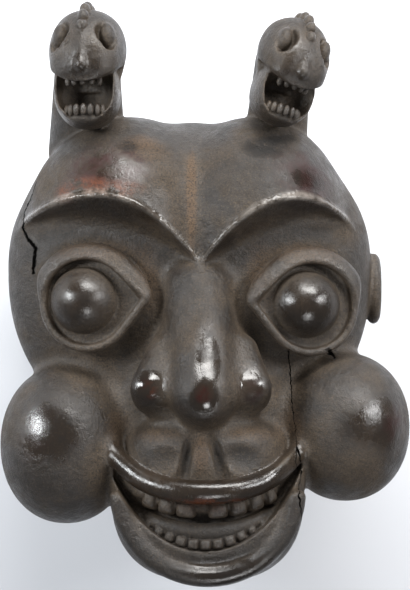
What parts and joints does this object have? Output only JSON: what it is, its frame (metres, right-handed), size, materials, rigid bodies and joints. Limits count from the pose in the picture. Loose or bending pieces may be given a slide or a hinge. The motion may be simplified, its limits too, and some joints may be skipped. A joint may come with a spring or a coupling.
{
  "type": "carved wooden helmet mask",
  "caption": "Carved wooden helmet mask with bulging eyes, ball cheeks, a toothed mouth and two gaping animal heads on the crown, hollow and open at the neck.",
  "frame": {"origin": "middle of the overall box in plan, on the surface that the mask lies on", "axes": "+X to the viewer's right, +Y from the chin to the crown, +Z out of the face, which looks up as the mask lies on its back"},
  "size_m": [0.3094, 0.4313, 0.273],
  "materials": {
    "wood": "dark brown-black patina, worn glossy on the high points, with dust in the hollows"
  },
  "bodies": {
    "root": {"helmet_mask": "wood"}
  },
  "joints": []
}
